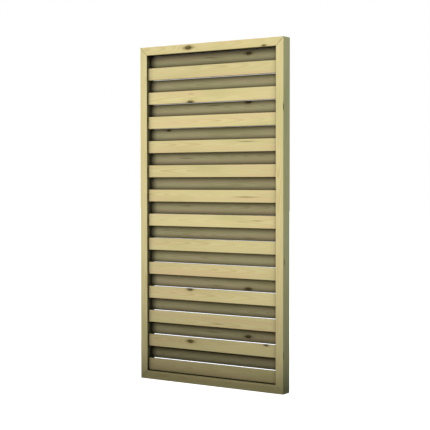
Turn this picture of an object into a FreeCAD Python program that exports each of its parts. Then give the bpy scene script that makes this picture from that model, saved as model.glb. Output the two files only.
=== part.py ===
import FreeCAD
import Part
import Sketcher
import math
import os

# Garden privacy screen: a mitred timber frame holding two rows of horizontal slats.
# The front row and the rear row are half a pitch apart, so that each slat of one row
# closes the opening between two slats of the other. Nothing on the screen moves.
#
# Row frame, millimetres: X across the screen, Y from front to rear, Z up.
# The origin is under the middle of the screen, on the plane that it stands on.

SIZES = {
    "panelWidth": (900, "outside width"),
    "panelHeight": (1800, "outside height"),
    "frameFace": (45, "width of a frame member seen from the front"),
    "frameDepth": (65, "depth of a frame member, front to rear"),
    "frameArris": (2, "rounding of a frame member's long edges"),
    "slatRows": (13, "slats in the front row, and as many in the rear row"),
    "slatWidth": (66, "height of a slat as it hangs in the screen"),
    "slatThickness": (14, "thickness of a slat"),
    "slatRounding": (3.5, "rounding of a slat's long edges"),
    "slatRecess": (12, "from the frame's face back to the face of the slats nearest to it"),
    "railGap": (3, "open gap between a rail and the slat next to it"),
    "tongueLength": (10, "how far a slat end goes into its stile"),
    "mortiseSide": (0.25, "clearance in front of and behind a slat in its mortise"),
    "mortiseHeadroom": (0.5, "clearance above a slat in its mortise"),
    "mortiseEndRoom": (1, "clearance past the end of a slat in its mortise"),
    "dowelDiameter": (8, "dowel across a mitre"),
    "dowelLength": (30, "length of a dowel"),
    "dowelChamfer": (1, "chamfer on a dowel's ends"),
    "dowelSpacing": (16, "between the two dowels of a mitre, front to rear"),
    "dowelEndRoom": (1, "glue room past each end of a dowel"),
    "screwDiameter": (5, "screw shank"),
    "screwLength": (70, "screw from head to point"),
    "screwPoint": (6, "length of the screw's point"),
    "screwHeadDiameter": (9.5, "screw head"),
    "screwHeadRim": (0.5, "straight rim of the screw head above its cone"),
    "screwDrive": (4, "drive recess, across its corners"),
    "screwDriveDepth": (2, "depth of the drive recess"),
    "screwClearance": (0.25, "room round the shank where it passes through a rail"),
    "screwSink": (0.5, "how far a screw head lies below the face of its rail"),
    "screwInset": (14, "from the screw's axis to the outer side of the screen"),
    "screwEdge": (10, "from the screw's axis to the front or the rear face"),
}

# Sizes that follow from the sheet, as expressions on its cells.
STEP = (
    "(Sizes.panelHeight - 2 * Sizes.frameFace - 2 * Sizes.railGap - Sizes.slatWidth)"
    " / (2 * Sizes.slatRows - 1)"
)
LOWEST_SLAT = "(Sizes.frameFace + Sizes.railGap + Sizes.slatWidth / 2)"
SLAT_LENGTH = "(Sizes.panelWidth - 2 * Sizes.frameFace + 2 * Sizes.tongueLength)"
ROW_PLANE = "(Sizes.frameDepth / 2 - Sizes.slatRecess - Sizes.slatThickness / 2)"
SCREW_PLANE = "(Sizes.frameDepth / 2 - Sizes.screwEdge)"
HEAD_CONE = "((Sizes.screwHeadDiameter - Sizes.screwDiameter) / 2)"

MITRE = 45
HALF_CONE = 45
FRONT, REAR = -1, 1
END_NAMES = {-1: "Start", 1: "End"}
X_AXIS = FreeCAD.Vector(1, 0, 0)
Y_AXIS = FreeCAD.Vector(0, 1, 0)
Z_AXIS = FreeCAD.Vector(0, 0, 1)


def fill_sheet(doc):
    sheet = doc.addObject("Spreadsheet::Sheet", "Sizes")
    for row, (alias, (value, note)) in enumerate(SIZES.items(), 1):
        sheet.set(f"A{row}", alias)
        sheet.set(f"B{row}", str(value))
        sheet.set(f"C{row}", note)
        sheet.setAlias(f"B{row}", alias)
    doc.recompute()


def new_body(doc, label):
    body = doc.addObject("PartDesign::Body", label)
    body.Label = label
    return body


def place(body, axis=Z_AXIS, angle=0, **position):
    """Turn a body about an axis and bind the given coordinates of its place to the sheet."""
    body.Placement = FreeCAD.Placement(FreeCAD.Vector(), FreeCAD.Rotation(axis, angle))
    for letter, expression in position.items():
        body.setExpression(f"Placement.Base.{letter}", expression)


def new_sketch(body, name, plane, axis=Z_AXIS, angle=0, **offset):
    """A sketch on one of the body's own origin planes, turned and moved within that plane's frame."""
    sketch = body.newObject("Sketcher::SketchObject", name)
    origin_plane = next(f for f in body.Origin.OriginFeatures if f.Role == plane)
    sketch.AttachmentSupport = [(origin_plane, "")]
    sketch.MapMode = "FlatFace"
    sketch.AttachmentOffset = FreeCAD.Placement(FreeCAD.Vector(), FreeCAD.Rotation(axis, angle))
    for letter, expression in offset.items():
        sketch.setExpression(f"AttachmentOffset.Base.{letter}", expression)
    return sketch


def amount(owner, expression):
    """What an expression on the sheet comes to now, so that a sketch is drawn at its real size."""
    return float(owner.evalExpression(expression))


def dimension(sketch, name, expression, kind, *references):
    """A named driving constraint, bound to the sheet."""
    index = sketch.addConstraint(Sketcher.Constraint(kind, *references, amount(sketch, expression)))
    sketch.renameConstraint(index, name)
    sketch.setExpression(f"Constraints.{name}", expression)


def constrain(sketch, *constraints):
    for kind, *references in constraints:
        sketch.addConstraint(Sketcher.Constraint(kind, *references))


def close_outline(sketch, corners):
    """Straight sides through the corners, joined end to end. Side n starts at corner n."""
    points = [FreeCAD.Vector(x, y, 0) for x, y in corners]
    count = len(points)
    for side in range(count):
        sketch.addGeometry(Part.LineSegment(points[side], points[(side + 1) % count]))
    for side in range(count):
        constrain(sketch, ("Coincident", side, 2, (side + 1) % count, 1))


def rounded_rectangle(sketch, width, height, radius):
    """A rectangle with round corners about the sketch's origin. Its three sizes are expressions."""
    half_width, half_height = amount(sketch, width) / 2, amount(sketch, height) / 2
    corner = amount(sketch, radius)
    inner_x, inner_y = half_width - corner, half_height - corner
    sides = (
        (-inner_x, -half_height, inner_x, -half_height),
        (half_width, -inner_y, half_width, inner_y),
        (inner_x, half_height, -inner_x, half_height),
        (-half_width, inner_y, -half_width, -inner_y),
    )
    for x1, y1, x2, y2 in sides:
        sketch.addGeometry(Part.LineSegment(FreeCAD.Vector(x1, y1, 0), FreeCAD.Vector(x2, y2, 0)))
    quarter = math.pi / 2
    centres = ((inner_x, -inner_y), (inner_x, inner_y), (-inner_x, inner_y), (-inner_x, -inner_y))
    for number, (x, y) in enumerate(centres):
        circle = Part.Circle(FreeCAD.Vector(x, y, 0), Z_AXIS, corner)
        start = (number - 1) * quarter
        sketch.addGeometry(Part.ArcOfCircle(circle, start, start + quarter))
    for side in range(4):
        arc = 4 + side
        constrain(sketch, ("Tangent", side, 2, arc, 1), ("Tangent", arc, 2, (side + 1) % 4, 1))
    constrain(sketch, ("Horizontal", 0), ("Vertical", 1), ("Horizontal", 2), ("Vertical", 3))
    constrain(sketch, ("Equal", 4, 5), ("Equal", 4, 6), ("Equal", 4, 7))
    constrain(sketch, ("Symmetric", 4, 3, 6, 3, -1, 1))
    dimension(sketch, "width", width, "DistanceX", 3, 1, 1, 1)
    dimension(sketch, "height", height, "DistanceY", 0, 1, 2, 1)
    dimension(sketch, "radius", radius, "Radius", 4)


def pocket(body, name, sketch, depth, reverse=False):
    """Cut the sketch's outline into the body, against the sketch's normal unless reversed."""
    cut = body.newObject("PartDesign::Pocket", name)
    cut.Profile = sketch
    cut.Reversed = reverse
    cut.setExpression("Length", depth)
    return cut


def long_edges(shape, direction, shortest):
    """Names of the straight edges along a direction that are longer than the given length."""
    names = []
    for number, edge in enumerate(shape.Edges, 1):
        run = edge.tangentAt(edge.FirstParameter)
        if edge.Length > shortest and run.cross(direction).Length < Part.Precision.confusion():
            names.append(f"Edge{number}")
    return names


def mitred_bar(doc, label, length):
    """A frame member with both ends mitred.

    Its own frame: X along its length from the middle, Y from front to rear,
    Z from its outer face (0) to its inner face (frameFace)."""
    body = new_body(doc, label)
    outline = new_sketch(body, "Outline", "XZ_Plane")
    outer, face = amount(outline, length) / 2, amount(outline, "Sizes.frameFace")
    close_outline(outline, ((-outer, 0), (outer, 0), (outer - face, face), (face - outer, face)))
    constrain(outline, ("Symmetric", 0, 1, 0, 2, -2), ("PointOnObject", 0, 1, -1))
    constrain(outline, ("Symmetric", 1, 2, 2, 2, -2))
    dimension(outline, "length", length, "DistanceX", 0, 1, 0, 2)
    dimension(outline, "face", "Sizes.frameFace", "DistanceY", 0, 2, 1, 2)
    dimension(outline, "mitre", "Sizes.frameFace", "DistanceX", 1, 2, 1, 1)
    bar = body.newObject("PartDesign::Pad", "Bar")
    bar.Profile = outline
    bar.SideType = "Symmetric"
    bar.setExpression("Length", "Sizes.frameDepth")
    doc.recompute()
    arrises = body.newObject("PartDesign::Fillet", "Arrises")
    arrises.Base = (bar, long_edges(bar.Shape, X_AXIS, bar.Shape.BoundBox.XLength / 2))
    arrises.setExpression("Radius", "Sizes.frameArris")
    for end in (-1, 1):
        dowel_holes(body, length, end)
    return body


def dowel_holes(body, length, end):
    """Two blind holes square to the mitre at one end of a bar, for half the length of a dowel."""
    name = "DowelHoles" + END_NAMES[end]
    middle = f"{end} * ({length} / 2 - Sizes.frameFace / 2)"
    circles = new_sketch(
        body, name + "Sketch", "XY_Plane", Y_AXIS, MITRE * end, x=middle, z="Sizes.frameFace / 2"
    )
    spaced_circles(circles, "Sizes.dowelDiameter / 2", "Sizes.dowelSpacing / 2")
    pocket(body, name, circles, "Sizes.dowelLength / 2 + Sizes.dowelEndRoom")


def spaced_circles(sketch, radius, reach, upright=True):
    """Two equal circles the same distance either side of the sketch's origin, along its Y or its X."""
    for side in (-1, 1):
        away = side * amount(sketch, reach)
        centre = FreeCAD.Vector(0, away, 0) if upright else FreeCAD.Vector(away, 0, 0)
        sketch.addGeometry(Part.Circle(centre, Z_AXIS, amount(sketch, radius)))
    line_axis, across = (-2, "DistanceY") if upright else (-1, "DistanceX")
    constrain(sketch, ("PointOnObject", 0, 3, line_axis), ("Symmetric", 0, 3, 1, 3, -1, 1))
    constrain(sketch, ("Equal", 0, 1))
    dimension(sketch, "radius", radius, "Radius", 0)
    dimension(sketch, "reach", reach, across, -1, 1, 1, 3)


def rail(doc, label):
    """Top or bottom member: a mitred bar with two countersunk screw holes at each end."""
    body = mitred_bar(doc, label, "Sizes.panelWidth")
    for end in (-1, 1):
        name = "ScrewHoles" + END_NAMES[end]
        place_x = f"{end} * (Sizes.panelWidth / 2 - Sizes.screwInset)"
        sunk = "Sizes.screwSink + Sizes.screwHeadRim"
        heads = new_sketch(body, name + "HeadSketch", "XY_Plane", x=place_x)
        spaced_circles(heads, "Sizes.screwHeadDiameter / 2", SCREW_PLANE)
        pocket(body, name + "Head", heads, sunk, reverse=True)
        cones = new_sketch(body, name + "ConeSketch", "XY_Plane", x=place_x, z=sunk)
        spaced_circles(cones, "Sizes.screwHeadDiameter / 2", SCREW_PLANE)
        cone = pocket(body, name + "Cone", cones, HEAD_CONE, reverse=True)
        cone.TaperAngle = -HALF_CONE
        shanks = new_sketch(body, name + "ShankSketch", "XY_Plane", x=place_x)
        spaced_circles(shanks, "Sizes.screwDiameter / 2 + Sizes.screwClearance", SCREW_PLANE)
        pocket(body, name + "Shank", shanks, "Sizes.frameFace", reverse=True)
    return body


def stile(doc, label, up):
    """Side member: a mitred bar with a mortise for each slat end and pilot holes for the screws.

    up is the direction of its own X that points to the top of the screen, 1 or -1."""
    body = mitred_bar(doc, label, "Sizes.panelHeight")
    for end in (-1, 1):
        name = "PilotHoles" + END_NAMES[end]
        circles = new_sketch(
            body,
            name + "Sketch",
            "YZ_Plane",
            y="Sizes.screwInset",
            z=f"{end} * (Sizes.panelHeight / 2 - Sizes.screwSink)",
        )
        spaced_circles(circles, "Sizes.screwDiameter / 2", SCREW_PLANE, upright=False)
        pocket(body, name, circles, "Sizes.screwLength", reverse=end < 0)
    for row, half_steps in ((FRONT, 0), (REAR, 1)):
        mortise_row(body, row, half_steps, up)
    return body


def mortise_row(body, row, half_steps, up):
    """The mortises of one row of slats: the lowest one, repeated upwards at twice the step."""
    name = "FrontMortise" if row == FRONT else "RearMortise"
    lowest = f"{LOWEST_SLAT} + {half_steps} * {STEP} + Sizes.mortiseHeadroom / 2"
    mouth = new_sketch(
        body,
        name + "Sketch",
        "XY_Plane",
        x=f"{up} * ({lowest} - Sizes.panelHeight / 2)",
        y=f"{row} * {ROW_PLANE}",
        z="Sizes.frameFace",
    )
    rounded_rectangle(
        mouth,
        "Sizes.slatWidth + Sizes.mortiseHeadroom",
        "Sizes.slatThickness + 2 * Sizes.mortiseSide",
        "Sizes.slatRounding + Sizes.mortiseSide",
    )
    first = pocket(body, name, mouth, "Sizes.tongueLength + Sizes.mortiseEndRoom")
    row_of_mortises = body.newObject("PartDesign::LinearPattern", name + "Row")
    row_of_mortises.Originals = [first]
    x_axis = next(f for f in body.Origin.OriginFeatures if f.Role == "X_Axis")
    row_of_mortises.Direction = (x_axis, [""])
    row_of_mortises.Reversed = up < 0
    row_of_mortises.Mode = "Spacing"
    row_of_mortises.setExpression("Offset", f"2 * {STEP}")
    row_of_mortises.setExpression("Occurrences", "Sizes.slatRows")
    body.Tip = row_of_mortises


def frame_members(doc):
    bottom = rail(doc, "bottom_rail")
    place(bottom)
    top = rail(doc, "top_rail")
    place(top, Y_AXIS, 180, z="Sizes.panelHeight")
    left = stile(doc, "left_stile", up=-1)
    place(left, Y_AXIS, 90, x="-Sizes.panelWidth / 2", z="Sizes.panelHeight / 2")
    right = stile(doc, "right_stile", up=1)
    place(right, Y_AXIS, -90, x="Sizes.panelWidth / 2", z="Sizes.panelHeight / 2")
    return [left, right, top, bottom]


def slat(doc, label, row, steps_up):
    """One slat, its section drawn about its own middle. steps_up counts half pitches from the lowest."""
    body = new_body(doc, label)
    section = new_sketch(body, "Section", "YZ_Plane")
    rounded_rectangle(section, "Sizes.slatThickness", "Sizes.slatWidth", "Sizes.slatRounding")
    board = body.newObject("PartDesign::Pad", "Board")
    board.Profile = section
    board.SideType = "Symmetric"
    board.setExpression("Length", SLAT_LENGTH)
    place(body, y=f"{row} * {ROW_PLANE}", z=f"{LOWEST_SLAT} + {steps_up} * {STEP}")
    return body


def slats(doc):
    """Both rows, numbered from the top. The front row starts by the bottom rail, the rear row a step up."""
    bodies = []
    count = SIZES["slatRows"][0]
    for number in range(1, count + 1):
        pitches_up = count - number
        bodies.append(slat(doc, f"front_slat_{number:02d}", FRONT, 2 * pitches_up))
        bodies.append(slat(doc, f"rear_slat_{number:02d}", REAR, 2 * pitches_up + 1))
    return bodies


def dowel(doc, number, side, level, row):
    """A glued dowel square to the mitre at one corner, half of it in the rail and half in the stile."""
    body = new_body(doc, f"corner_dowel_{number}")
    profile = new_sketch(body, "Profile", "XZ_Plane")
    half = amount(profile, "Sizes.dowelLength") / 2
    radius = amount(profile, "Sizes.dowelDiameter") / 2
    cut = amount(profile, "Sizes.dowelChamfer")
    lower = ((0, -half), (radius - cut, -half), (radius, cut - half))
    upper = ((radius, half - cut), (radius - cut, half), (0, half))
    close_outline(profile, lower + upper)
    constrain(profile, ("Horizontal", 0), ("Vertical", 2), ("Horizontal", 4))
    constrain(profile, ("Symmetric", 0, 1, 4, 2, -1, 1), ("Equal", 0, 4), ("PointOnObject", 0, 1, -2))
    dimension(profile, "length", "Sizes.dowelLength", "DistanceY", 0, 1, 4, 2)
    dimension(profile, "radius", "Sizes.dowelDiameter / 2", "DistanceX", 0, 1, 1, 2)
    dimension(profile, "chamferAcross", "Sizes.dowelChamfer", "DistanceX", 1, 1, 1, 2)
    dimension(profile, "chamferAlong", "Sizes.dowelChamfer", "DistanceY", 1, 1, 1, 2)
    turned = body.newObject("PartDesign::Revolution", "Turned")
    turned.Profile = profile
    turned.ReferenceAxis = (profile, ["V_Axis"])
    turned.Angle = 360
    place(
        body,
        Y_AXIS,
        -MITRE * side * level,
        x=f"{side} * (Sizes.panelWidth / 2 - Sizes.frameFace / 2)",
        y=f"{row} * Sizes.dowelSpacing / 2",
        z=f"Sizes.panelHeight / 2 + {level} * (Sizes.panelHeight / 2 - Sizes.frameFace / 2)",
    )
    return body


def screw(doc, number, side, level, row):
    """A countersunk screw through a rail into the end of a stile. Its own Z runs from point to head."""
    body = new_body(doc, f"corner_screw_{number}")
    profile = new_sketch(body, "Profile", "XZ_Plane")
    length, point = amount(profile, "Sizes.screwLength"), amount(profile, "Sizes.screwPoint")
    shank = amount(profile, "Sizes.screwDiameter") / 2
    head = amount(profile, "Sizes.screwHeadDiameter") / 2
    rim, cone = amount(profile, "Sizes.screwHeadRim"), amount(profile, HEAD_CONE)
    shaft = ((0, 0), (0, -length), (shank, point - length), (shank, -rim - cone))
    close_outline(profile, shaft + ((head, -rim), (head, 0)))
    constrain(profile, ("Coincident", 0, 1, -1, 1), ("Vertical", 0), ("Vertical", 2))
    constrain(profile, ("Vertical", 4), ("Horizontal", 5))
    dimension(profile, "length", "Sizes.screwLength", "DistanceY", 0, 2, 0, 1)
    dimension(profile, "point", "Sizes.screwPoint", "DistanceY", 1, 1, 1, 2)
    dimension(profile, "shank", "Sizes.screwDiameter / 2", "DistanceX", 0, 2, 1, 2)
    dimension(profile, "cone", HEAD_CONE, "DistanceY", 3, 1, 3, 2)
    dimension(profile, "head", "Sizes.screwHeadDiameter / 2", "DistanceX", 0, 1, 4, 1)
    dimension(profile, "rim", "Sizes.screwHeadRim", "DistanceY", 4, 1, 4, 2)
    turned = body.newObject("PartDesign::Revolution", "Turned")
    turned.Profile = profile
    turned.ReferenceAxis = (profile, ["V_Axis"])
    turned.Angle = 360
    drive = new_sketch(body, "DriveSketch", "XY_Plane")
    hexagon(drive, "Sizes.screwDrive / 2")
    pocket(body, "Drive", drive, "Sizes.screwDriveDepth")
    place(
        body,
        Y_AXIS,
        0 if level > 0 else 180,
        x=f"{side} * (Sizes.panelWidth / 2 - Sizes.screwInset)",
        y=f"{row} * {SCREW_PLANE}",
        z=f"Sizes.panelHeight / 2 + {level} * (Sizes.panelHeight / 2 - Sizes.screwSink)",
    )
    return body


def hexagon(sketch, radius):
    """A regular hexagon about the sketch's origin, held by a construction circle through its corners."""
    reach = amount(sketch, radius)
    turns = [number * math.pi / 3 for number in range(6)]
    close_outline(sketch, [(reach * math.cos(turn), reach * math.sin(turn)) for turn in turns])
    circle = sketch.addGeometry(Part.Circle(FreeCAD.Vector(), Z_AXIS, reach), True)
    constrain(sketch, ("Coincident", circle, 3, -1, 1), ("PointOnObject", 0, 1, -1))
    for side in range(6):
        constrain(sketch, ("PointOnObject", side, 1, circle))
    for side in range(1, 6):
        constrain(sketch, ("Equal", 0, side))
    dimension(sketch, "radius", radius, "Radius", circle)


def corner_group(doc, label, make):
    """The same fastener at every corner, in the front half and the rear half, as separate solids."""
    bodies = []
    for side in (-1, 1):
        for level in (-1, 1):
            for row in (FRONT, REAR):
                bodies.append(make(doc, len(bodies) + 1, side, level, row))
    group = doc.addObject("Part::Compound", label)
    group.Label = label
    group.Links = bodies
    return group


def check(doc, nodes):
    """Stop if any feature failed or any node is not made of whole, valid solids."""
    failed = [o.Label for o in doc.Objects if "Invalid" in o.State or "Error" in o.State]
    if failed:
        raise RuntimeError(f"these objects failed: {failed}")
    for node in nodes:
        shape = node.Shape
        if shape.isNull() or not shape.isValid() or not shape.Solids:
            raise RuntimeError(f"{node.Label} has no valid solid")
        if any(solid.Volume <= 0 for solid in shape.Solids):
            raise RuntimeError(f"{node.Label} has a solid that is inside out")


def write(nodes):
    os.makedirs("parts", exist_ok=True)
    for node in nodes:
        node.Shape.exportStep(f"parts/{node.Label}.step")
        print(f"{node.Label}: {len(node.Shape.Solids)} solid(s), {node.Shape.Volume / 1000:.2f} cm3")


def main():
    doc = FreeCAD.newDocument("PrivacyScreen")
    fill_sheet(doc)
    nodes = frame_members(doc)
    nodes += slats(doc)
    nodes.append(corner_group(doc, "corner_dowels", dowel))
    nodes.append(corner_group(doc, "corner_screws", screw))
    doc.recompute()
    check(doc, nodes)
    write(nodes)


main()
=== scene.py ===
import math
import random

import bpy
from mathutils import Matrix, Vector


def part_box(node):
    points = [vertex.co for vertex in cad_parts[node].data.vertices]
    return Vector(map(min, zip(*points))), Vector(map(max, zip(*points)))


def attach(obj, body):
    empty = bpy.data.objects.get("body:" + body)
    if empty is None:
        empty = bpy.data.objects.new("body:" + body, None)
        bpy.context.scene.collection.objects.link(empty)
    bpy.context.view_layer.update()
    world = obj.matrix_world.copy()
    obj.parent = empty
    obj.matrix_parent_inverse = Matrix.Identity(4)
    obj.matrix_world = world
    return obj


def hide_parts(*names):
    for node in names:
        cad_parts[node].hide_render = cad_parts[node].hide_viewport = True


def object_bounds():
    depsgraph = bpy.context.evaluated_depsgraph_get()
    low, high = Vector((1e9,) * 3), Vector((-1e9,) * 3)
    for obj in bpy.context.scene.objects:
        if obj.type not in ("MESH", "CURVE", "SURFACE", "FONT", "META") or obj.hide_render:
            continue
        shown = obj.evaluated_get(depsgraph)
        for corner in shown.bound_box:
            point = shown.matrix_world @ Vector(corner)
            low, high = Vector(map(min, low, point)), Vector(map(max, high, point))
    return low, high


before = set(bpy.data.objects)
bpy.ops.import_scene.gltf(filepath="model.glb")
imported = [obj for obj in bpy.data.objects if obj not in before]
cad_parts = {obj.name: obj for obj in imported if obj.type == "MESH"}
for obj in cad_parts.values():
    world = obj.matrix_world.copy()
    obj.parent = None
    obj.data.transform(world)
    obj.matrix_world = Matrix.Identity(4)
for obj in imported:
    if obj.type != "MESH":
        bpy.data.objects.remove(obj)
cadLow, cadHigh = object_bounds()
scene = bpy.context.scene
print("frame loaded:", len(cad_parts), "nodes")

mm = 0.001

# camera, matched to the picture's corners and slat ends
view = {
    "place": (3.3218, -4.9464, 1.0760),
    "turn": 0.5891,  # radians about Z, 0 looks along +Y
    "tilt": -0.0298,
    "roll": -0.0006,
    "lens": 94.90,
    "sensor": 36,
    "seesFrom": 0.1,
    "seesTo": 100,
}


def makeCamera():
    data = bpy.data.cameras.new("camera")
    data.sensor_width = view["sensor"]
    data.lens = view["lens"]
    data.clip_start = view["seesFrom"]
    data.clip_end = view["seesTo"]
    camera = bpy.data.objects.new("camera", data)
    turn = Matrix.Rotation(view["turn"], 4, "Z")
    tilt = Matrix.Rotation(math.pi / 2 + view["tilt"], 4, "X")
    roll = Matrix.Rotation(view["roll"], 4, "Z")
    camera.matrix_world = Matrix.Translation(view["place"]) @ turn @ tilt @ roll
    scene.collection.objects.link(camera)
    scene.camera = camera


makeCamera()
print("camera placed")


class Link:  # an output socket that can be used in sums
    def __init__(self, graph, socket):
        self.graph, self.socket = graph, socket

    def maths(self, operation, *values):
        return self.graph.add("ShaderNodeMath", {"operation": operation}, dict(enumerate(values)))

    def __add__(self, other):
        return self.maths("ADD", self, other)

    def __radd__(self, other):
        return self.maths("ADD", other, self)

    def __sub__(self, other):
        return self.maths("SUBTRACT", self, other)

    def __rsub__(self, other):
        return self.maths("SUBTRACT", other, self)

    def __mul__(self, other):
        return self.maths("MULTIPLY", self, other)

    def __rmul__(self, other):
        return self.maths("MULTIPLY", other, self)

    def __truediv__(self, other):
        return self.maths("DIVIDE", self, other)

    def __pow__(self, other):
        return self.maths("POWER", self, other)

    def __neg__(self):
        return self.maths("MULTIPLY", self, -1)

    def __abs__(self):
        return self.maths("ABSOLUTE", self)

    def __gt__(self, other):
        return self.maths("GREATER_THAN", self, other)


class Graph:  # adds nodes to one tree
    def __init__(self, tree):
        self.tree = tree

    def add(self, kind, settings=None, sockets=None, out=0):
        node = self.tree.nodes.new(kind)
        for name, value in (settings or {}).items():
            setattr(node, name, value)
        for key, value in (sockets or {}).items():
            for item in value if isinstance(value, list) else [value]:
                if isinstance(item, Link):
                    self.tree.links.new(item.socket, node.inputs[key])
                else:
                    node.inputs[key].default_value = item
        return Link(self, node.outputs[out]) if len(node.outputs) else None

    def split(self, vector):
        first = self.add("ShaderNodeSeparateXYZ", {}, {0: vector})
        return [Link(self, socket) for socket in first.socket.node.outputs]

    def join(self, x, y, z):
        return self.add("ShaderNodeCombineXYZ", {}, {"X": x, "Y": y, "Z": z})

    def between(self, value, low, high):  # 0 below low, 1 above high, smooth between
        sockets = {"Value": value, "From Min": low, "From Max": high}
        return self.add("ShaderNodeMapRange", {"interpolation_type": "SMOOTHSTEP"}, sockets)

    def smaller(self, first, second):
        return self.add("ShaderNodeMath", {"operation": "MINIMUM"}, {0: first, 1: second})

    def larger(self, first, second):
        return self.add("ShaderNodeMath", {"operation": "MAXIMUM"}, {0: first, 1: second})

    def mix(self, amount, first, second):  # colours
        sockets = {0: amount, 6: first, 7: second}
        return self.add("ShaderNodeMix", {"data_type": "RGBA"}, sockets, 2)

    def bell(self, squared):  # 1 at the middle, fading smoothly to 0
        return self.add("ShaderNodeMath", {"operation": "EXPONENT"}, {0: -squared})

    def attribute(self, name, out="Vector"):
        return self.add("ShaderNodeAttribute", {"attribute_name": name}, {}, out)

    def noise(self, vector, scale, detail=2.0, roughness=0.5):
        sockets = {"Vector": vector, "Scale": scale, "Detail": detail, "Roughness": roughness}
        return self.add("ShaderNodeTexNoise", {}, sockets, "Fac")


def newMaterial(name):
    material = bpy.data.materials.new(name)
    material.use_nodes = True
    material.node_tree.nodes.clear()
    return material, Graph(material.node_tree)


def finishMaterial(g, surface):
    g.add("ShaderNodeOutputMaterial", {}, {"Surface": surface})


def paint(red, green, blue):  # a screen colour as the shader's own numbers
    parts = [value / 255 for value in (red, green, blue)]
    return tuple([p / 12.92 if p <= 0.04045 else ((p + 0.055) / 1.055) ** 2.4 for p in parts] + [1.0])


# planed pine, pressure treated: pale yellow-green with pinker heartwood
timberLook = {
    "pale": paint(226, 212, 158),
    "pink": paint(226, 204, 156),
    "green": paint(206, 198, 140),
    "lateWood": paint(196, 168, 108),
    "pinkBands": (0.42, 0.66),  # the noise at which the pink sets in, and at which it is full
    "greenPatches": (0.48, 0.74),
    "greenStrength": 0.75,
    "shade": 1.0,
    "shadeLow": 0.96,  # the darkest board, and how much lighter the lightest is
    "shadeSpread": 0.06,
    "ringDepth": 32 * mm,  # from the board's face to the tree's heart
    "ringStrength": 0.33,
    "fibreStrength": 0.24,
    "fibreFrom": 0.35,
    "roughness": 0.66,
    "bump": 0.25,
    "bumpDepth": 0.25 * mm,
}

# noise in a board: waves to the metre along it and across it
woodNoise = {
    "knotEdge": (90, 260),
    "ringDrift": (1.7, 8),
    "fibre": (7, 420),
    "bands": (1.3, 26),
    "patches": (2.1, 9),
    "patchOffset": 7,  # keeps the patches off the bands
    "logLength": 41.0,  # every board is cut from its own place in the log
}

# a knot narrows into the board, in a pointed patch of dark grain; its lengths are in its own size
knotLook = {
    "rimColour": paint(68, 60, 36),
    "heartColour": paint(114, 100, 62),
    "eyeColour": paint(138, 120, 74),
    "long": 1.9,
    "wide": 0.85,
    "taper": 0.35,
    "rough": 0.7,
    "edge": (0.7, 1.2),
    "rim": (0.25, 0.75),
    "eyeWide": 1.7,
    "eyeLong": 20,
    "eyeTaper": 0.5,
    "eyeRough": 0.6,
    "eyeEdge": (0.35, 1.15),
    "haloLong": 40,
    "haloWide": 3,
    "haloStrength": 0.16,
    "eyeStrength": 0.65,
    "heartStrength": 0.85,
    "rimStrength": 0.9,
}

# growth rings: each darkens slowly and ends at once
ringLook = {
    "gap": 4.6 * mm,
    "drift": 12 * mm,
    "pushedByKnot": 10 * mm,
    "rise": (0.35, 0.92),
    "fall": (0.94, 1.0),
    "figureLength": 160 * mm,  # the arches where the heart comes nearest to the face
    "figureLow": 0.45,
    "figureHigh": 0.8,
}

# streaks of resin, thin and pointed, and short splits in a bar's outer edge
streakLook = {
    "colour": paint(116, 94, 56),
    "slim": 0.025,
    "thinnest": 1.2 * mm,
    "falloff": (2.2, 1.4),
    "least": 0.35,
    "strength": 0.8,
}
splitLook = {
    "colour": paint(62, 52, 36),
    "width": 2.8 * mm,
    "falloff": 1.6,
    "edge": 20 * mm,  # from the bar's middle, so that only its outer edge splits
    "strength": 1.1,
}

# what stands proud of the board or sinks into it, and what dulls it or makes it shine
surfaceLook = {
    "ringHeight": 0.5,
    "fibreHeight": 0.6,
    "knotHeight": 0.4,
    "splitDepth": 2,
    "fibreDulls": 0.18,
    "knotShines": 0.12,
    # rougher where the recess shade is painted
    "recessShadeDulls": 0.5,
}

# painted shade in recesses, along the slats' lower edges and tops and on a bar's inner side; and a darker,
# greener tint towards the ground
paintedShadeLook = {
    # the colour of all painted shade
    "shadeColour": paint(64, 56, 42),
    "shadeReach": 42 * mm,  # how far off a neighbour still darkens the painted recess shade
    "shadeSamples": 8,
    "shadeStrength": 1.6,
    "shadeFromFoot": (5 * mm, 60 * mm),  # no painted recess shade below the first height, full from the second
    "innerSideShadeBand": (20.5 * mm, 22.3 * mm),  # a bar's inner side, darkened as painted shade
    "innerSideShadeStrength": 0.0,
    "lowerShadeBand": (29.5 * mm, 32.5 * mm),  # the lower edge of a slat, darkened as painted shade, down from its middle
    "lowerShadeDepth": (11 * mm, 13.5 * mm),  # the painted shade stays off the slat's other face
    "lowerShadeStrength": 0.6,
    "topShadeBand": (31.4 * mm, 32.7 * mm),  # its top, darkened as painted shade
    "topShadeStrength": 0.6,
    "footGreen": paint(46, 58, 12),  # a dark green mixed in, more towards the ground
    "footBand": (-50 * mm, 200 * mm),
    "footUneven": 80 * mm,
    "footStrength": 0.5,
}


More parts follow.
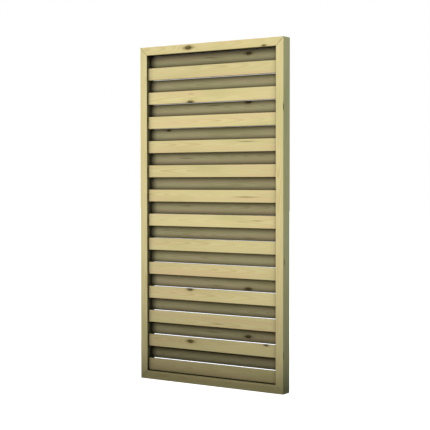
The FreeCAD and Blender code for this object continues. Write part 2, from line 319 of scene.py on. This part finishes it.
def makeTimber(name, look, shadeLook):
    material, g = newMaterial(name)
    along, across, deep = g.split(g.attribute("grain"))
    tone = g.attribute("tone", "Fac")
    start = along + tone * woodNoise["logLength"]

    def grain(kind, offset=0.0, detail=2.0, roughness=0.5):
        long, wide = woodNoise[kind]
        place = g.join(start * long + offset, across * wide, deep * wide)
        return g.noise(place, 1.0, detail, roughness)

    wobble = grain("knotEdge") - 0.5
    drift = grain("ringDrift") - 0.5
    fibre = grain("fibre", detail=3.0, roughness=0.6)
    bands = grain("bands")
    patches = grain("patches", woodNoise["patchOffset"])

    def knot(mark):
        a, c, size = g.split(g.attribute(mark))
        x, y, z = (along - a) / size, (across - c) / size, deep / size * knotLook["taper"]
        reach = ((x / knotLook["long"]) ** 2 + (y / knotLook["wide"]) ** 2 + z * z) ** 0.5
        pointed = abs(y) / knotLook["eyeWide"] + x * x / knotLook["eyeLong"] + z * knotLook["eyeTaper"]
        eye = 1 - g.between(pointed + wobble * knotLook["eyeRough"], *knotLook["eyeEdge"])
        halo = g.bell(x * x / knotLook["haloLong"] + y * y / knotLook["haloWide"] + z * z)
        return reach, eye, halo

    reachA, eyeA, haloA = knot("knotA")
    reachB, eyeB, haloB = knot("knotB")
    reach = g.smaller(reachA, reachB) + wobble * knotLook["rough"]
    eye = eyeA + eyeB
    halo = haloA + haloB
    knotCore = 1 - g.between(reach, *knotLook["edge"])
    knotRim = g.between(reach, *knotLook["rim"]) * knotCore

    # the rings' heart runs slightly askew under the face
    tipAlong, tipAcross, slope = g.split(g.attribute("heart"))
    side = across - tipAcross
    below = (along - tipAlong) * slope + deep + look["ringDepth"]
    radius = (side * side + below * below) ** 0.5
    moved = drift * ringLook["drift"] + halo * ringLook["pushedByKnot"]
    rings = (radius - look["ringDepth"] + moved) / ringLook["gap"]
    phase = g.add("ShaderNodeMath", {"operation": "FRACT"}, {0: rings})
    late = g.between(phase, *ringLook["rise"]) * (1 - g.between(phase, *ringLook["fall"]))
    near = (along - tipAlong) / ringLook["figureLength"]
    figure = ringLook["figureLow"] + ringLook["figureHigh"] * g.bell(near * near)

    def streak(mark):
        a, c, half = g.split(g.attribute(mark))
        x = (along - a) / half
        y = (across - c) / (half * streakLook["slim"] + streakLook["thinnest"])
        lengthwise, sideways = streakLook["falloff"]
        return g.bell(x * x * lengthwise + y * y * sideways)

    def crack(mark):
        a, d, half = g.split(g.attribute(mark))
        x = (along - a) / half
        z = (deep - d) / splitLook["width"]
        return g.bell(x * x * splitLook["falloff"] + z * z) * (-across > splitLook["edge"])

    streaks = (streak("streakA") + streak("streakB")) * (streakLook["least"] + fibre)
    splits = crack("splitA") + crack("splitB") + crack("splitC")

    colour = g.mix(g.between(bands, *look["pinkBands"]), look["pale"], look["pink"])
    greenness = g.between(patches, *look["greenPatches"]) * look["greenStrength"]
    layers = [  # each covers part of what is under it
        (greenness, look["green"]),
        (late * figure * look["ringStrength"], look["lateWood"]),
        ((fibre - look["fibreFrom"]) * look["fibreStrength"], look["lateWood"]),
        (halo * knotLook["haloStrength"], streakLook["colour"]),
        (eye * knotLook["eyeStrength"], knotLook["eyeColour"]),
        (streaks * streakLook["strength"], streakLook["colour"]),
        (knotCore * knotLook["heartStrength"], knotLook["heartColour"]),
        (knotRim * knotLook["rimStrength"], knotLook["rimColour"]),
        (splits * splitLook["strength"], splitLook["colour"]),
    ]

    # painted shade: ambient occlusion darkens the timber where neighbours close in, in recesses and between
    # the rows
    rays = {"samples": shadeLook["shadeSamples"]}
    openness = g.add("ShaderNodeAmbientOcclusion", rays, {"Distance": shadeLook["shadeReach"]}, "AO")
    high = g.split(g.add("ShaderNodeTexCoord", {}, {}, "Object"))[2]
    recessShade = (1 - openness) * g.between(high, *shadeLook["shadeFromFoot"])
    # painted shade along a slat's lower edge, kept off its back face
    lowerShade = g.between(-across, *shadeLook["lowerShadeBand"]) * (1 - g.between(deep, *shadeLook["lowerShadeDepth"]))
    # darker and greener towards the ground, with an uneven top
    towardsFoot = 1 - g.between(high + (bands - 0.5) * shadeLook["footUneven"], *shadeLook["footBand"])
    layers += [
        (recessShade * shadeLook["shadeStrength"], shadeLook["shadeColour"]),
        (lowerShade * shadeLook["lowerShadeStrength"], shadeLook["shadeColour"]),
        # painted shade on a slat's top
        (g.between(across, *shadeLook["topShadeBand"]) * shadeLook["topShadeStrength"], shadeLook["shadeColour"]),
        # painted shade on a bar's inner side
        (g.between(across, *shadeLook["innerSideShadeBand"]) * shadeLook["innerSideShadeStrength"], shadeLook["shadeColour"]),
        (towardsFoot * shadeLook["footStrength"], shadeLook["footGreen"]),
    ]
    for amount, cover in layers:
        colour = g.mix(amount, colour, cover)
    shade = (look["shadeLow"] + tone * look["shadeSpread"]) * g.attribute("shade", "Fac") * look["shade"]
    colour = g.add("ShaderNodeVectorMath", {"operation": "SCALE"}, {0: colour, "Scale": shade})

    height = late * surfaceLook["ringHeight"] + fibre * surfaceLook["fibreHeight"]
    height = height + knotCore * surfaceLook["knotHeight"] - splits * surfaceLook["splitDepth"]
    sockets = {"Strength": look["bump"], "Distance": look["bumpDepth"], "Height": height}
    worn = (fibre - 0.5) * surfaceLook["fibreDulls"] - knotCore * surfaceLook["knotShines"]
    worn = worn + recessShade * surfaceLook["recessShadeDulls"]
    finishMaterial(g, g.add("ShaderNodeBsdfPrincipled", {}, {
        "Base Color": colour,
        "Roughness": look["roughness"] + worn,
        "Specular IOR Level": 0.0,
        "Normal": g.add("ShaderNodeBump", {}, sockets),
    }))
    return material


frameLook = dict(timberLook, pink=paint(225, 207, 154))
# the frame gets stronger painted shade in its recesses, and painted shade on its bars' inner sides
frameShade = dict(paintedShadeLook, shadeStrength=2.2, innerSideShadeStrength=0.6)
slatLook = dict(timberLook, ringDepth=24 * mm)
# the rear slats are painted 8% lighter, and their lower halves carry painted shade, darkest where the next
# front slat closes in
rearLook = dict(slatLook, shade=1.08)
rearShade = dict(paintedShadeLook, lowerShadeBand=(8 * mm, 36 * mm), lowerShadeStrength=0.42)
frameTimber = makeTimber("frameTimber", frameLook, frameShade)
slatTimber = makeTimber("slatTimber", slatLook, paintedShadeLook)
rearTimber = makeTimber("rearTimber", rearLook, rearShade)


# stainless steel, brushed round by the lathe, with a dull cast from the weather
steelLook = {
    "bright": (0.62, 0.61, 0.58, 1),
    "dull": (0.40, 0.39, 0.36, 1),
    "dullPatches": (0.35, 0.7),
    "patchWaves": 260,  # to the metre, as all waves here
    "latheWaves": 2400,
    "roughness": 0.32,
    "roughnessSpread": 0.2,
    "bump": 0.15,
    "bumpDepth": 0.03 * mm,
}


def makeSteel():
    material, g = newMaterial("screwSteel")
    place = g.add("ShaderNodeTexCoord", {}, {}, "Object")
    cloud = g.noise(place, steelLook["patchWaves"], 3.0)
    turned = g.noise(place, steelLook["latheWaves"], 2.0)
    sockets = {"Strength": steelLook["bump"], "Distance": steelLook["bumpDepth"], "Height": turned}
    dullness = g.between(cloud, *steelLook["dullPatches"])
    finishMaterial(g, g.add("ShaderNodeBsdfPrincipled", {}, {
        "Base Color": g.mix(dullness, steelLook["bright"], steelLook["dull"]),
        "Metallic": 1.0,
        "Roughness": steelLook["roughness"] + (turned - 0.5) * steelLook["roughnessSpread"],
        "Normal": g.add("ShaderNodeBump", {}, sockets),
    }))
    return material


# beech dowels: short dark flecks on a warm ground
dowelLook = {
    "ground": paint(206, 172, 128),
    "fleck": paint(150, 112, 74),
    "flecksAt": (0.5, 0.75),
    "waves": (300, 900, 300),
    "roughness": 0.6,
    "roughnessSpread": 0.2,
    "bump": 0.2,
    "bumpDepth": 0.1 * mm,
}


def makeBeech():
    material, g = newMaterial("dowelBeech")
    place = g.split(g.add("ShaderNodeTexCoord", {}, {}, "Object"))
    flecks = g.noise(g.join(*(part * waves for part, waves in zip(place, dowelLook["waves"]))), 1.0, 2.0)
    flecked = g.between(flecks, *dowelLook["flecksAt"])
    sockets = {"Strength": dowelLook["bump"], "Distance": dowelLook["bumpDepth"], "Height": flecks}
    finishMaterial(g, g.add("ShaderNodeBsdfPrincipled", {}, {
        "Base Color": g.mix(flecked, dowelLook["ground"], dowelLook["fleck"]),
        "Roughness": dowelLook["roughness"] + (flecks - 0.5) * dowelLook["roughnessSpread"],
        "Normal": g.add("ShaderNodeBump", {}, sockets),
    }))
    return material


screwSteel = makeSteel()
dowelBeech = makeBeech()
print("materials made")


# the timbers: their common lengths, and how a sharp edge is told from a rounded one
screenWidth = 900 * mm
screenHeight = 1800 * mm
rowCount = 13  # boards in each of the two rows
creaseAngle = math.radians(31)  # between two faces

socketKinds = {float: "NodeSocketFloat", int: "NodeSocketInt", bpy.types.Material: "NodeSocketMaterial"}


def newTree(name, sizes):  # a geometry tree with one named input for each size
    tree = bpy.data.node_groups.new(name, "GeometryNodeTree")
    tree.interface.new_socket("Geometry", in_out="INPUT", socket_type="NodeSocketGeometry")
    for label, value in sizes.items():
        tree.interface.new_socket(label, in_out="INPUT", socket_type=socketKinds[type(value)])
    tree.interface.new_socket("Geometry", in_out="OUTPUT", socket_type="NodeSocketGeometry")
    g = Graph(tree)
    source = tree.nodes.new("NodeGroupInput")
    given = {socket.name: Link(g, socket) for socket in source.outputs if socket.name}
    return tree, g, given


def outline(g, width, height, rounding, steps):  # rectangle with round corners
    sides = {"Width": width, "Height": height}
    corners = g.add("GeometryNodeCurvePrimitiveQuadrilateral", {"mode": "RECTANGLE"}, sides)
    sockets = {"Curve": corners, "Count": steps, "Radius": rounding}
    return g.add("GeometryNodeFilletCurve", {"mode": "POLY"}, sockets)


def sweep(g, section, start, end, points=2):
    line = g.add("GeometryNodeCurvePrimitiveLine", {"mode": "POINTS"}, {"Start": start, "End": end})
    if points > 2:
        line = g.add("GeometryNodeResampleCurve", {"mode": "COUNT"}, {"Curve": line, "Count": points})
    sockets = {"Curve": line, "Profile Curve": section, "Fill Caps": True}
    return g.add("GeometryNodeCurveToMesh", {}, sockets)


def keep(g, geometry, name, value, kind="FLOAT_VECTOR", domain="POINT"):
    settings = {"data_type": kind, "domain": domain}
    sockets = {"Geometry": geometry, "Name": name, "Value": value}
    return g.add("GeometryNodeStoreNamedAttribute", settings, sockets)


def finishTree(g, geometry, timber):  # smooth round the arrises, crisp at the joints
    solid = g.add("GeometryNodeRealizeInstances", {}, {0: geometry})
    solid = g.add("GeometryNodeSetShadeSmooth", {}, {0: solid, "Shade Smooth": True})
    angle = g.add("GeometryNodeInputMeshEdgeAngle", {}, {}, "Unsigned Angle")
    solid = keep(g, solid, "sharp_edge", angle > creaseAngle, "BOOLEAN", "EDGE")
    solid = g.add("GeometryNodeSetMaterial", {}, {"Geometry": solid, "Material": timber})
    g.add("NodeGroupOutput", {}, {0: solid})


# one point for each copy carries what is its own: its turn, tone, rings, knots, streaks and splits
def grow(name, tree, sizes, places, marks):
    mesh = bpy.data.meshes.new(name)
    mesh.from_pydata([tuple(place) for place in places], [], [])
    for label, values in marks.items():
        vector = hasattr(values[0], "__len__")
        layer = mesh.attributes.new(label, "FLOAT_VECTOR" if vector else "FLOAT", "POINT")
        for item, value in zip(layer.data, values):
            if vector:
                item.vector = value
            else:
                item.value = value
    piece = bpy.data.objects.new(name, mesh)
    scene.collection.objects.link(piece)
    modifier = piece.modifiers.new("shape", "NODES")
    modifier.node_group = tree
    for socket in tree.interface.items_tree:
        if socket.in_out == "INPUT" and socket.name in sizes:
            modifier[socket.identifier] = sizes[socket.name]
    normals = piece.modifiers.new("normals", "WEIGHTED_NORMAL")
    normals.keep_sharp = True
    bpy.context.view_layer.update()
    made = bpy.data.meshes.new_from_object(piece.evaluated_get(bpy.context.evaluated_depsgraph_get()))
    piece.modifiers.clear()
    piece.data = made
    made.name = name
    bpy.data.meshes.remove(mesh)
    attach(piece, "root")
    print(name, "made:", len(made.polygons), "faces")
    return piece


# a board's own marks: metres along and across from its middle, then a size;
# a split has its depth second, and a heart has the slope of its rings third
nowhere = (9.0, 0.0, 0.01)  # far off the board
markNames = ("knotA", "knotB", "streakA", "streakB", "splitA", "splitB", "splitC")
heartAlong = 400 * mm  # how far off a board's middle chance may put its heart
heartAcross = 12 * mm
heartSlope = (0.02, 0.05)


def boardMarks(count, given, seed):
    dice = random.Random(seed)
    marks = {label: [] for label in ("tone", "shade", "heart") + markNames}
    for number in range(1, count + 1):
        own = given.get(number, {})
        along = dice.uniform(-heartAlong, heartAlong)
        across = dice.uniform(-heartAcross, heartAcross)
        slope = dice.choice((-1, 1)) * dice.uniform(*heartSlope)
        marks["tone"].append(dice.random())
        marks["shade"].append(own.get("shade", 1.0))
        marks["heart"].append(own.get("heart", (along, across, slope)))
        for label in markNames:
            marks[label].append(own.get(label, nowhere))
    return marks


# the slats: one row in front and one behind, each numbered from the top
slatSizes = {
    "Length": 830 * mm,
    "Width": 66 * mm,
    "Thickness": 14 * mm,
    "Rounding": 2.8 * mm,
    "Corner Steps": 4,
    "Timber": slatTimber,
}
slatRows = {
    "front": {
        "seed": 5,
        "timber": slatTimber,
        "boards": {
            1: {"heart": (0.065, 0.016, 0.035), "shade": 0.93},
            2: {"knotA": (-0.126, -0.0275, 0.0080), "streakA": (-0.120, 0.0150, 0.024)},
            3: {"heart": (0.068, -0.001, 0.035), "shade": 1.03},
            4: {"streakA": (0.222, 0.019, 0.075), "shade": 0.94},
            5: {"shade": 0.93},
            6: {"streakA": (0.222, -0.0037, 0.095)},
            7: {"streakA": (0.293, 0.0057, 0.050)},
            8: {"heart": (-0.110, 0.012, 0.035)},
            9: {"heart": (0.068, 0.009, 0.035)},
            10: {"knotA": (-0.130, 0.0276, 0.0085), "heart": (-0.100, 0.002, 0.035), "shade": 1.07},
            11: {"heart": (0.068, -0.014, 0.035), "streakA": (0.058, -0.014, 0.050)},
            12: {"knotA": (-0.127, 0.0125, 0.0090), "knotB": (0.343, 0.0285, 0.0055)},
            13: {"shade": 0.92},
        },
    },
    "rear": {
        "seed": 9,
        "timber": rearTimber,
        "boards": {
            # board 1 is darkened to paint the top rail's shadow on it
            1: {"knotA": (0.221, 0.0136, 0.0085), "streakA": (-0.013, 0.0046, 0.070), "shade": 0.90},
            2: {"shade": 0.95},
            3: {"knotA": (0.218, 0.0252, 0.0085), "streakA": (0.006, 0.016, 0.070)},
            4: {"knotA": (-0.286, 0.0235, 0.0060)},
            5: {"streakA": (-0.172, 0.0037, 0.060)},
            7: {"streakA": (-0.172, 0.0113, 0.060)},
            8: {"streakA": (-0.299, 0.0099, 0.040), "streakB": (0.227, -0.0199, 0.045)},
            10: {"knotA": (0.219, -0.020, 0.0085), "streakA": (0.023, -0.0129, 0.070)},
            11: {"shade": 0.96},
            12: {"knotA": (0.219, -0.0059, 0.0085), "streakA": (-0.004, 0.003, 0.070), "shade": 0.95},
            13: {"shade": 0.92},
        },
    },
}


def makeSlatTree():
    tree, g, given = newTree("slatTree", slatSizes)
    section = outline(g, given["Thickness"], given["Width"], given["Rounding"], given["Corner Steps"])
    half = given["Length"] / 2
    board = sweep(g, section, g.join(-half, 0.0, 0.0), g.join(half, 0.0, 0.0))
    x, y, z = g.split(g.add("GeometryNodeInputPosition"))
    board = keep(g, board, "grain", g.join(x, z, y + given["Thickness"] / 2))
    row = g.add("GeometryNodeInstanceOnPoints", {}, {"Points": given["Geometry"], "Instance": board})
    finishTree(g, row, given["Timber"])
    return tree


slatTree = makeSlatTree()
slatPlaces = {}
for rowName, row in slatRows.items():
    names = [f"{rowName}_slat_{number:02d}" for number in range(1, rowCount + 1)]
    boxes = [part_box(name) for name in names]
    slatPlaces[rowName] = [(Vector(low) + Vector(high)) / 2 for low, high in boxes]
    marks = boardMarks(rowCount, row["boards"], row["seed"])
    sizes = dict(slatSizes, Timber=row["timber"])
    piece = grow(rowName + "Slats", slatTree, sizes, slatPlaces[rowName], marks)
    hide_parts(*names)


# the frame: four bars mitred at the corners, each drawn along X with its outer face at Z 0
barSizes = {
    "Face": 45 * mm,
    "Depth": 65 * mm,
    "Arris": 2 * mm,
    "Arris Steps": 4,
    "Joint Ease": 0.9 * mm,  # worn edge on each side of a mitre
    "Joint Gap": 0.25 * mm,
    "Timber": frameTimber,
}
railSizes = dict(barSizes, **{
    "Length": screenWidth,
    "Screw Inset": 14 * mm,
    "Screw Spacing": 45 * mm,
    "Head Width": 9.5 * mm,
    "Head Sink": 1 * mm,
    "Shank Hole": 5.5 * mm,
    "Hole Sides": 32,
})
stileSizes = dict(barSizes, **{
    "Length": screenHeight,
    "Mortise Width": 66.5 * mm,
    "Mortise Thickness": 14.5 * mm,
    "Mortise Rounding": 3.05 * mm,
    "Mortise Depth": 11 * mm,
    "Mortises": rowCount,
})
overrun = mm  # a cutter stands this far proud of the face that it cuts
easeAlong = 1.414  # an ease square to the mitre, measured along the bar


def mitredBar(g, given):
    section = outline(g, given["Depth"], given["Face"], given["Arris"], given["Arris Steps"])
    # four sections: one at each end, and one where each end's worn edge begins
    bar = sweep(g, section, (-1.0, 0.0, 0.0), (1.0, 0.0, 0.0), 4)
    x, y, z = g.split(g.add("GeometryNodeInputPosition"))
    atEnd = abs(x) > 0.5
    side = g.add("ShaderNodeMath", {"operation": "SIGN"}, {0: x})
    ease = given["Joint Ease"]
    shrunkY = y * (1 - atEnd * ease * 2 / given["Depth"])
    level = given["Face"] / 2 + z * (1 - atEnd * ease * 2 / given["Face"])
    back = given["Joint Gap"] + (1 - atEnd) * ease * easeAlong
    reach = given["Length"] / 2 - level - back
    place = g.join(side * reach, shrunkY, level)
    return g.add("GeometryNodeSetPosition", {}, {"Geometry": bar, "Position": place})


def placeBar(g, given, bar):
    x, y, z = g.split(g.add("GeometryNodeInputPosition"))
    bar = keep(g, bar, "grain", g.join(x, z - given["Face"] / 2, y + given["Depth"] / 2))
    turn = g.add("GeometryNodeInputNamedAttribute", {"data_type": "FLOAT_VECTOR"}, {"Name": "turn"})
    turn = g.add("FunctionNodeEulerToRotation", {}, {0: turn})
    sockets = {"Points": given["Geometry"], "Instance": bar, "Rotation": turn}
    finishTree(g, g.add("GeometryNodeInstanceOnPoints", {}, sockets), given["Timber"])


def cutAway(g, solid, *cutters):
    settings = {"operation": "DIFFERENCE", "solver": "EXACT"}
    return g.add("GeometryNodeMeshBoolean", settings, {"Mesh 1": solid, "Mesh 2": list(cutters)})


def makeRailTree():
    tree, g, given = newTree("railTree", railSizes)
    bar = mitredBar(g, given)
    spread = {
        "Size X": given["Length"] - given["Screw Inset"] * 2,
        "Size Y": given["Screw Spacing"],
        "Vertices X": 2,
        "Vertices Y": 2,
    }
    corners = g.add("GeometryNodeMeshGrid", {}, spread)
    head, shank = given["Head Width"] / 2, given["Shank Hole"] / 2
    sink, sides = given["Head Sink"], given["Hole Sides"]
    sockets = {"Vertices": sides, "Radius": head, "Depth": sink * 2}
    mouth = g.add("GeometryNodeMeshCylinder", {}, sockets)
    sockets = {"Vertices": sides, "Radius Bottom": head, "Radius Top": shank, "Depth": head - shank}
    cone = g.add("GeometryNodeMeshCone", {}, sockets)
    cone = g.add("GeometryNodeTransform", {}, {"Geometry": cone, "Translation": g.join(0.0, 0.0, sink)})
    sockets = {"Vertices": sides, "Radius": shank, "Depth": given["Face"] * 2.1}  # right through
    hole = g.add("GeometryNodeMeshCylinder", {}, sockets)
    cutters = []
    for cutter in (mouth, cone, hole):
        copies = g.add("GeometryNodeInstanceOnPoints", {}, {"Points": corners, "Instance": cutter})
        cutters.append(g.add("GeometryNodeRealizeInstances", {}, {0: copies}))
    placeBar(g, given, cutAway(g, bar, *cutters))
    return tree


def makeStileTree(name, up):
    # up is the way of the bar's own X that points to the top of the screen
    sizes = dict(stileSizes, **mortiseRows(up))
    tree, g, given = newTree(name, sizes)
    bar = mitredBar(g, given)
    steps = given["Arris Steps"]
    section = outline(g, given["Mortise Width"], given["Mortise Thickness"], given["Mortise Rounding"], steps)
    floor = given["Face"] - given["Mortise Depth"]
    mortise = sweep(g, section, g.join(0.0, 0.0, floor), g.join(0.0, 0.0, given["Face"] + overrun))
    cutters = []
    for row in ("Front", "Rear"):
        start = g.join(given[row + " First"], given[row + " Plane"], 0.0)
        step = g.join(given["Pitch"], 0.0, 0.0)
        sockets = {"Count": given["Mortises"], "Start Location": start, "Offset": step}
        line = g.add("GeometryNodeMeshLine", {}, sockets)
        copies = g.add("GeometryNodeInstanceOnPoints", {}, {"Points": line, "Instance": mortise})
        cutters.append(g.add("GeometryNodeRealizeInstances", {}, {0: copies}))
    placeBar(g, given, cutAway(g, bar, *cutters))
    return tree, sizes


def mortiseRows(up):
    middle = stileSizes["Length"] / 2
    headroom = stileSizes["Mortise Width"] - slatSizes["Width"]
    rows = {}
    for rowName, label in (("front", "Front"), ("rear", "Rear")):
        lowest = slatPlaces[rowName][-1]
        rows[label + " First"] = up * (lowest.z + headroom / 2 - middle)
        rows[label + " Plane"] = lowest.y
    rows["Pitch"] = up * (slatPlaces["front"][0].z - slatPlaces["front"][-1].z) / (rowCount - 1)
    return rows


railTree = makeRailTree()
leftTree, leftSizes = makeStileTree("leftStileTree", -1)
rightTree, rightSizes = makeStileTree("rightStileTree", 1)
quarter = math.pi / 2
bars = {
    "bottomRail": {
        "node": "bottom_rail", "tree": railTree, "sizes": railSizes,
        "place": (0, 0, 0), "turn": (0, 0, 0), "seed": 21, "own": {},
    },
    "topRail": {
        "node": "top_rail", "tree": railTree, "sizes": railSizes,
        "place": (0, 0, screenHeight), "turn": (0, 2 * quarter, 0), "seed": 22,
        "own": {"knotA": (0.131, -0.0024, 0.0105), "knotB": (-0.335, 0.0165, 0.0050)},
    },
    "leftStile": {
        "node": "left_stile", "tree": leftTree, "sizes": leftSizes,
        "place": (-screenWidth / 2, 0, screenHeight / 2), "turn": (0, quarter, 0), "seed": 23, "own": {},
    },
    "rightStile": {
        "node": "right_stile", "tree": rightTree, "sizes": rightSizes,
        "place": (screenWidth / 2, 0, screenHeight / 2), "turn": (0, -quarter, 0), "seed": 24,
        "own": {
            "splitA": (0.548, 0.001, 0.024), "splitB": (-0.232, 0.012, 0.022),
            "splitC": (-0.703, 0.006, 0.026), "shade": 1.03,
        },
    },
}
for name, bar in bars.items():
    marks = boardMarks(1, {1: bar["own"]}, bar["seed"])
    marks["turn"] = [bar["turn"]]
    piece = grow(name, bar["tree"], bar["sizes"], [bar["place"]], marks)
    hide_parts(bar["node"])


# fasteners that the CAD already shapes
for node, material in (("corner_screws", screwSteel), ("corner_dowels", dowelBeech)):
    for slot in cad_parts[node].material_slots:
        slot.material = material
print("fasteners finished")


# pale studio: white to the camera, plain to the object
studio = {
    "floorSize": 60.0,
    "floorDrop": 0.5 * mm,
    "floorColour": (0.85, 0.85, 0.85, 1),
    "floorBounce": (0.45, 0.46, 0.45, 1),
    "matColour": (0.04, 0.04, 0.04, 1),  # what the object gets back from the floor right by it
    "matRadius": (2.5, 5.0),
    "floorGlow": 0.92,
    "flagGap": 1.00,  # low black boards round the foot, unseen, that keep the light off it
    "flagHeight": 0.50,
    "surround": (0.91, 0.92, 1.0, 1),
    "surroundRight": (0.41, 0.53, 0.56, 1),  # the side that the picture shows is the dim one
    "surroundTurn": (-0.3, 0.8),  # by the direction's X
    "surroundLevel": 1.15,
    "white": (1, 1, 1, 1),
}
lamps = {
    "frontLamp": {  # too flat to reach between the front slats, so it passes the rear row by
        "place": (-0.9, -4.4, 1.5), "aim": (0.2, 0, 1.40), "power": 385, "radius": 0.7,
        "cone": 44, "blend": 0.89, "colour": (1.0, 0.94, 0.76), "passes": "rearSlats",
    },
    "backLamp": {
        "place": (-2.2, 4.4, 1.7), "aim": (0, 0, 1.5), "power": 260, "radius": 0.7,
        "cone": 45, "blend": 0.89, "colour": (1.0, 0.945, 0.69), "passes": "frontSlats",
    },
}


def leaveOut(name, piece):  # a collection that tells a lamp to pass one object by
    left = bpy.data.collections.new(name)
    left.objects.link(bpy.data.objects[piece])
    left.collection_objects[0].light_linking.link_state = "EXCLUDE"
    return left


def stagePiece(name, corners, faces, material):
    mesh = bpy.data.meshes.new(name)
    mesh.from_pydata(corners, [], faces)
    mesh.materials.append(material)
    piece = bpy.data.objects.new(name, mesh)
    scene.collection.objects.link(piece)
    return piece


def seen(g):  # 1 where the camera looks, straight or by way of steel, and 0 for the light
    rays = g.add("ShaderNodeLightPath").socket.node.outputs
    shown = Link(g, rays["Is Camera Ray"])
    for kind in ("Is Glossy Ray", "Is Transmission Ray"):
        shown = g.larger(shown, Link(g, rays[kind]))
    return shown


def makeFloor():
    material, g = newMaterial("paleFloor")
    x, y, z = g.split(g.add("ShaderNodeTexCoord", {}, {}, "Object"))
    away = g.between((x * x + y * y) ** 0.5, *studio["matRadius"])
    plain = g.mix(away, studio["matColour"], studio["floorBounce"])
    bounce = g.add("ShaderNodeBsdfDiffuse", {}, {"Color": plain})
    pale = g.add("ShaderNodeBsdfDiffuse", {}, {"Color": studio["floorColour"]})
    glow = g.add("ShaderNodeEmission", {}, {"Strength": studio["floorGlow"]})
    shown = g.add("ShaderNodeAddShader", {}, {0: pale, 1: glow})
    finishMaterial(g, g.add("ShaderNodeMixShader", {}, {0: seen(g), 1: bounce, 2: shown}))
    half, down = studio["floorSize"] / 2, -studio["floorDrop"]
    corners = [(-half, -half, down), (half, -half, down), (half, half, down), (-half, half, down)]
    stagePiece("floor", corners, [(0, 1, 2, 3)], material)


def makeFlags():
    material, g = newMaterial("blackFlag")
    finishMaterial(g, g.add("ShaderNodeBsdfDiffuse", {}, {"Color": studio["matColour"]}))
    x, y = (side + studio["flagGap"] for side in cadHigh.xy)
    ring = [(-x, -y), (x, -y), (x, y), (-x, y)]
    corners = [(u, v, w) for w in (0, studio["flagHeight"]) for u, v in ring]
    faces = [(n, (n + 1) % 4, (n + 1) % 4 + 4, n + 4) for n in range(4)]
    flags = stagePiece("flags", corners, faces, material)
    flags.visible_camera = False
    flags.visible_glossy = False
    flags.visible_transmission = False


def makeSurround():  # white where it is seen, and two soft tones of light elsewhere
    world = bpy.data.worlds.new("surround")
    world.use_nodes = True
    world.node_tree.nodes.clear()
    scene.world = world
    g = Graph(world.node_tree)
    x, y, z = g.split(g.add("ShaderNodeTexCoord", {}, {}, "Object"))  # a direction, in a world
    shade = g.mix(g.between(x, *studio["surroundTurn"]), studio["surround"], studio["surroundRight"])
    dim = g.add("ShaderNodeBackground", {}, {"Color": shade, "Strength": studio["surroundLevel"]})
    white = g.add("ShaderNodeBackground", {}, {"Color": studio["white"], "Strength": 1.0})
    surface = g.add("ShaderNodeMixShader", {}, {0: seen(g), 1: dim, 2: white})
    g.add("ShaderNodeOutputWorld", {}, {"Surface": surface})


def makeLamps():  # the flags stop neither lamp
    for name, lamp in lamps.items():
        data = bpy.data.lights.new(name, "SPOT")
        data.energy = lamp["power"]
        data.color = lamp["colour"]
        data.shadow_soft_size = lamp["radius"]
        data.spot_size = math.radians(lamp["cone"])
        data.spot_blend = lamp["blend"]
        light = bpy.data.objects.new(name, data)
        light.location = lamp["place"]
        beam = Vector(lamp["aim"]) - Vector(lamp["place"])
        light.rotation_euler = beam.to_track_quat("-Z", "Y").to_euler()
        scene.collection.objects.link(light)
        light.light_linking.blocker_collection = leaveOut(name + "Unblocked", "flags")
        light.light_linking.receiver_collection = leaveOut(name + "Passes", lamp["passes"])


makeFloor()
makeFlags()
makeSurround()
makeLamps()
scene.view_settings.view_transform = "Standard"
print("studio lit")
